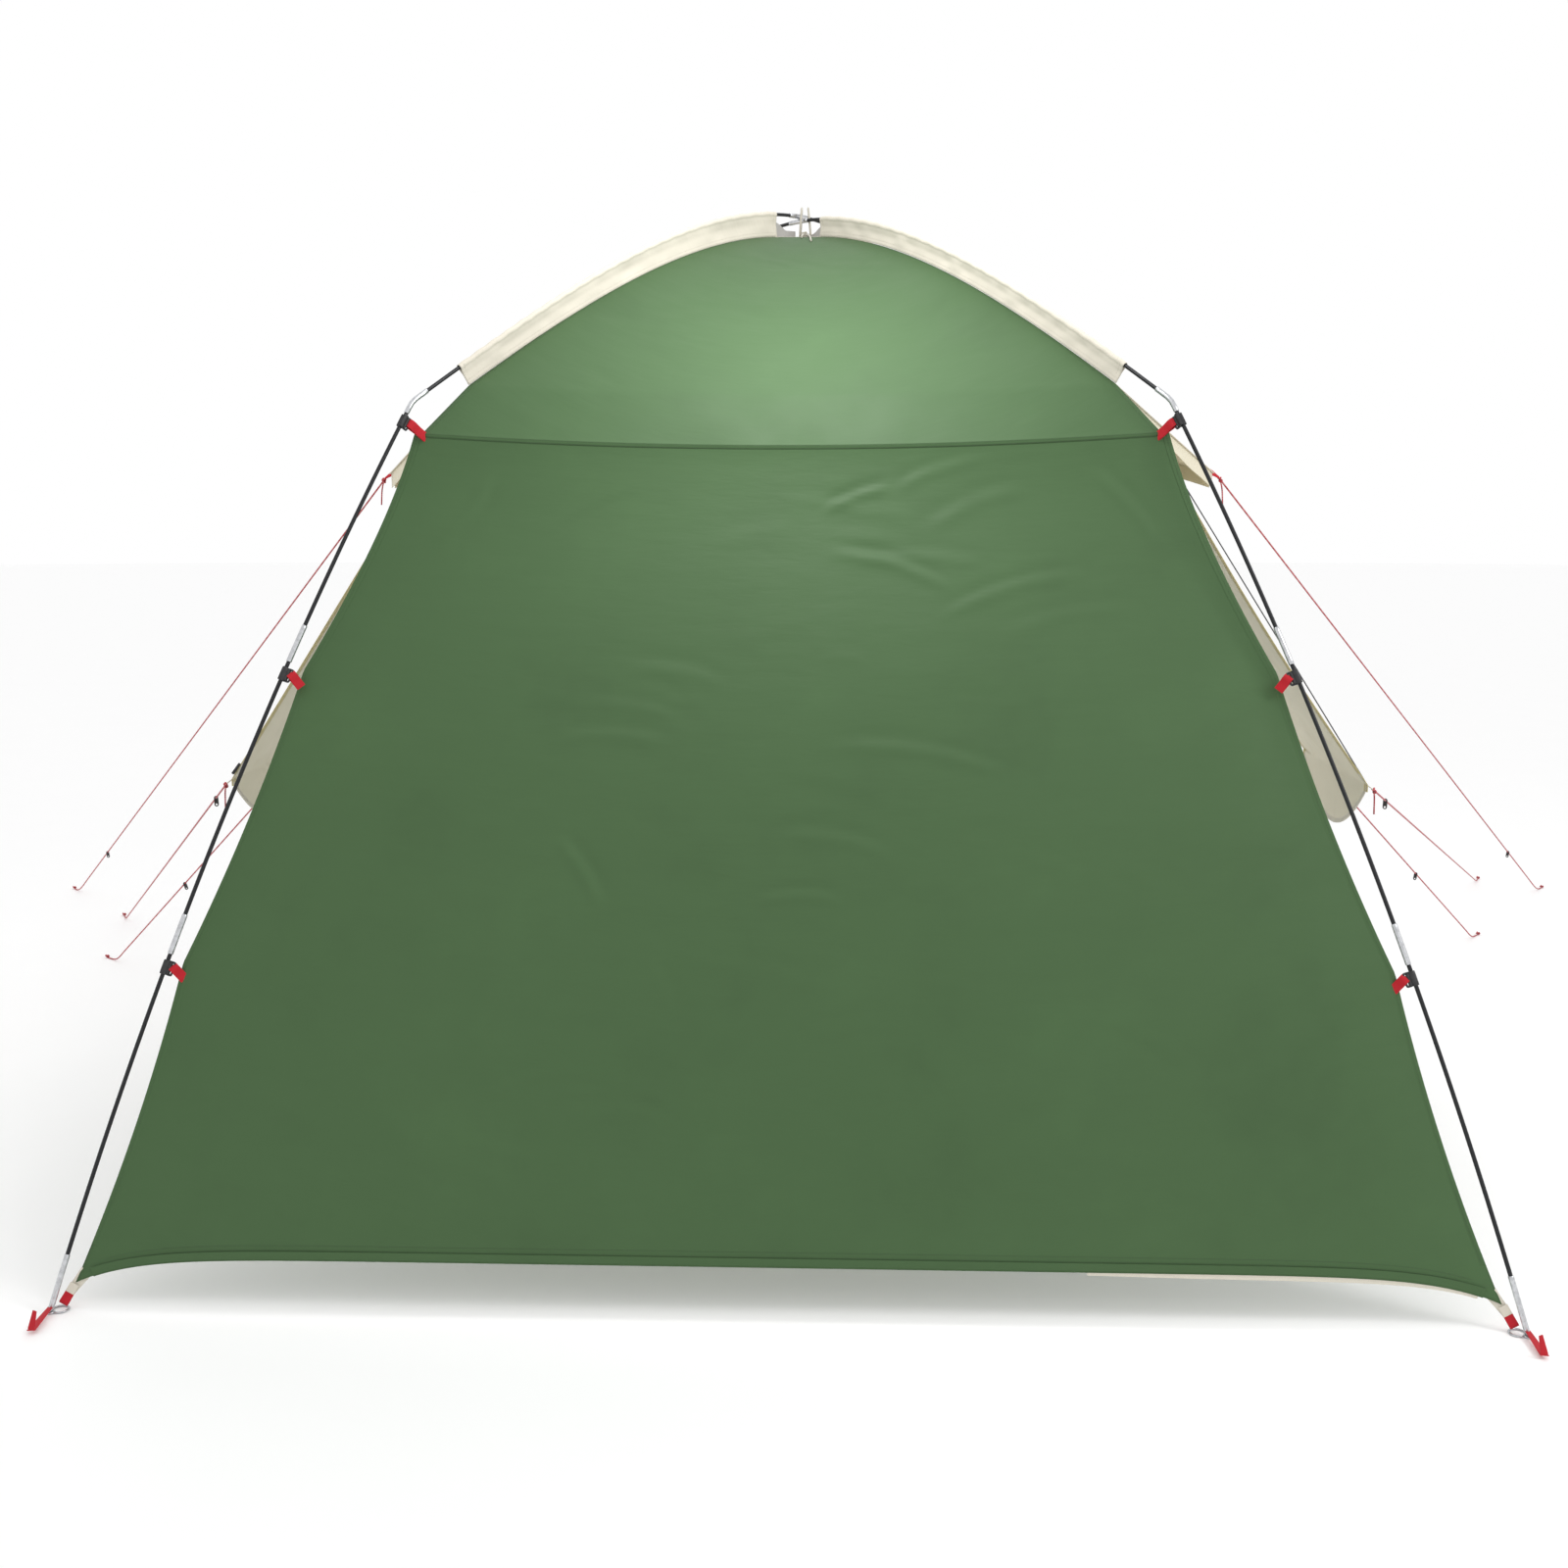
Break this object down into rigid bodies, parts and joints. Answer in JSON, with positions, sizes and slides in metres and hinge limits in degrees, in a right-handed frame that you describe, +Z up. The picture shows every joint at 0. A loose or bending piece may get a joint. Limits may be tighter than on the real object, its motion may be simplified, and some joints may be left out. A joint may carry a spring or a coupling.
{
  "type": "dome shelter tent",
  "caption": "Dome shelter tent on two crossed sectioned poles, with one closed wall, peaked visors, hanging side flaps, strap clips and guy ropes.",
  "frame": {"origin": "on the ground at the centre of the four pole feet", "axes": "+Z up, +Y away from the closed wall towards the open side, +X to the right when facing the wall from outside"},
  "size_m": [5.8718, 4.0134, 2.1855],
  "materials": {
    "black_rod": "wrapped fibreglass rod, satin black",
    "silver_metal": "brushed silver tube",
    "steel_wire": "zinc plated wire",
    "green_cloth": "coated plain weave, matt green",
    "cream_cloth": "coated plain weave, matt cream",
    "red_webbing": "woven webbing, red",
    "black_plastic": "moulded plastic, satin black",
    "guy_rope": "braided cord, red with black and white",
    "elastic": "braided elastic cord"
  },
  "bodies": {
    "shelter": {"near_left_lower_section": "black_rod", "near_left_middle_section": "black_rod", "near_left_upper_section": "black_rod", "near_left_elbow": "silver_metal", "near_left_roof_rod": "black_rod", "near_left_sleeve": "cream_cloth", "near_left_ring_pin": "steel_wire", "near_right_lower_section": "black_rod", "near_right_middle_section": "black_rod", "near_right_upper_section": "black_rod", "near_right_elbow": "silver_metal", "near_right_roof_rod": "black_rod", "near_right_sleeve": "cream_cloth", "near_right_ring_pin": "steel_wire", "far_left_lower_section": "black_rod", "far_left_middle_section": "black_rod", "far_left_upper_section": "black_rod", "far_left_elbow": "silver_metal", "far_left_roof_rod": "black_rod", "far_left_sleeve": "cream_cloth", "far_left_ring_pin": "steel_wire", "far_right_lower_section": "black_rod", "far_right_middle_section": "black_rod", "far_right_upper_section": "black_rod", "far_right_elbow": "silver_metal", "far_right_roof_rod": "black_rod", "far_right_sleeve": "cream_cloth", "far_right_ring_pin": "steel_wire", "upper_pole_crown_ferrule": "silver_metal", "upper_pole_shock_cord": "elastic", "lower_pole_crown_ferrule": "silver_metal", "lower_pole_shock_cord": "elastic", "near_wall": "green_cloth", "near_roof": "green_cloth", "far_roof": "green_cloth", "crown_patch": "cream_cloth", "left_roof": "cream_cloth", "left_flap": "cream_cloth", "right_roof": "cream_cloth", "right_flap": "cream_cloth", "left_visor_rope": "guy_rope", "right_visor_rope": "guy_rope", "left_flap_near_rope": "guy_rope", "right_flap_near_rope": "guy_rope", "left_flap_far_rope": "guy_rope", "right_flap_far_rope": "guy_rope"},
    "near_left_lower_clip": {"near_left_lower_clip": "black_plastic"},
    "near_left_middle_clip": {"near_left_middle_clip": "black_plastic"},
    "near_left_upper_clip": {"near_left_upper_clip": "black_plastic"},
    "near_right_lower_clip": {"near_right_lower_clip": "black_plastic"},
    "near_right_middle_clip": {"near_right_middle_clip": "black_plastic"},
    "near_right_upper_clip": {"near_right_upper_clip": "black_plastic"},
    "far_left_upper_clip": {"far_left_upper_clip": "black_plastic"},
    "far_right_upper_clip": {"far_right_upper_clip": "black_plastic"},
    "left_visor_runner": {"left_visor_runner": "black_plastic"},
    "right_visor_runner": {"right_visor_runner": "black_plastic"},
    "left_flap_near_runner": {"left_flap_near_runner": "black_plastic"},
    "right_flap_near_runner": {"right_flap_near_runner": "black_plastic"},
    "left_flap_far_runner": {"left_flap_far_runner": "black_plastic"},
    "right_flap_far_runner": {"right_flap_far_runner": "black_plastic"}
  },
  "joints": [
    {"name": "near_left_lower_clip_slide", "type": "slide", "parent": "shelter", "child": "near_left_lower_clip", "axis": [0.2883, 0.2883, 0.9131], "range_m": [-0.03, 0.01]},
    {"name": "near_left_middle_clip_slide", "type": "slide", "parent": "shelter", "child": "near_left_middle_clip", "axis": [0.3342, 0.3342, 0.8813], "range_m": [-0.03, 0.01]},
    {"name": "near_left_upper_clip_slide", "type": "slide", "parent": "shelter", "child": "near_left_upper_clip", "axis": [0.3637, 0.3637, 0.8576], "range_m": [-0.03, 0.003]},
    {"name": "near_right_lower_clip_slide", "type": "slide", "parent": "shelter", "child": "near_right_lower_clip", "axis": [-0.2883, 0.2883, 0.9131], "range_m": [-0.03, 0.01]},
    {"name": "near_right_middle_clip_slide", "type": "slide", "parent": "shelter", "child": "near_right_middle_clip", "axis": [-0.3342, 0.3342, 0.8813], "range_m": [-0.03, 0.01]},
    {"name": "near_right_upper_clip_slide", "type": "slide", "parent": "shelter", "child": "near_right_upper_clip", "axis": [-0.3637, 0.3637, 0.8576], "range_m": [-0.03, 0.003]},
    {"name": "far_left_upper_clip_slide", "type": "slide", "parent": "shelter", "child": "far_left_upper_clip", "axis": [0.3637, -0.3637, 0.8576], "range_m": [-0.03, 0.003]},
    {"name": "far_right_upper_clip_slide", "type": "slide", "parent": "shelter", "child": "far_right_upper_clip", "axis": [-0.3637, -0.3637, 0.8576], "range_m": [-0.03, 0.003]},
    {"name": "left_visor_runner_slide", "type": "slide", "parent": "shelter", "child": "left_visor_runner", "axis": [-0.571, 0.6718, -0.4719], "range_m": [-0.6, 0.25]},
    {"name": "right_visor_runner_slide", "type": "slide", "parent": "shelter", "child": "right_visor_runner", "axis": [0.5388, 0.7098, -0.4537], "range_m": [-0.6, 0.25]},
    {"name": "left_flap_near_runner_slide", "type": "slide", "parent": "shelter", "child": "left_flap_near_runner", "axis": [-0.4606, 0.8274, -0.3212], "range_m": [-0.1, 0.6]},
    {"name": "right_flap_near_runner_slide", "type": "slide", "parent": "shelter", "child": "right_flap_near_runner", "axis": [0.4038, 0.8809, -0.2471], "range_m": [-0.1, 0.6]},
    {"name": "left_flap_far_runner_slide", "type": "slide", "parent": "shelter", "child": "left_flap_far_runner", "axis": [-0.6375, 0.5152, -0.5729], "range_m": [-0.4, 0.35]},
    {"name": "right_flap_far_runner_slide", "type": "slide", "parent": "shelter", "child": "right_flap_far_runner", "axis": [0.5393, 0.6976, -0.4717], "range_m": [-0.4, 0.35]}
  ]
}
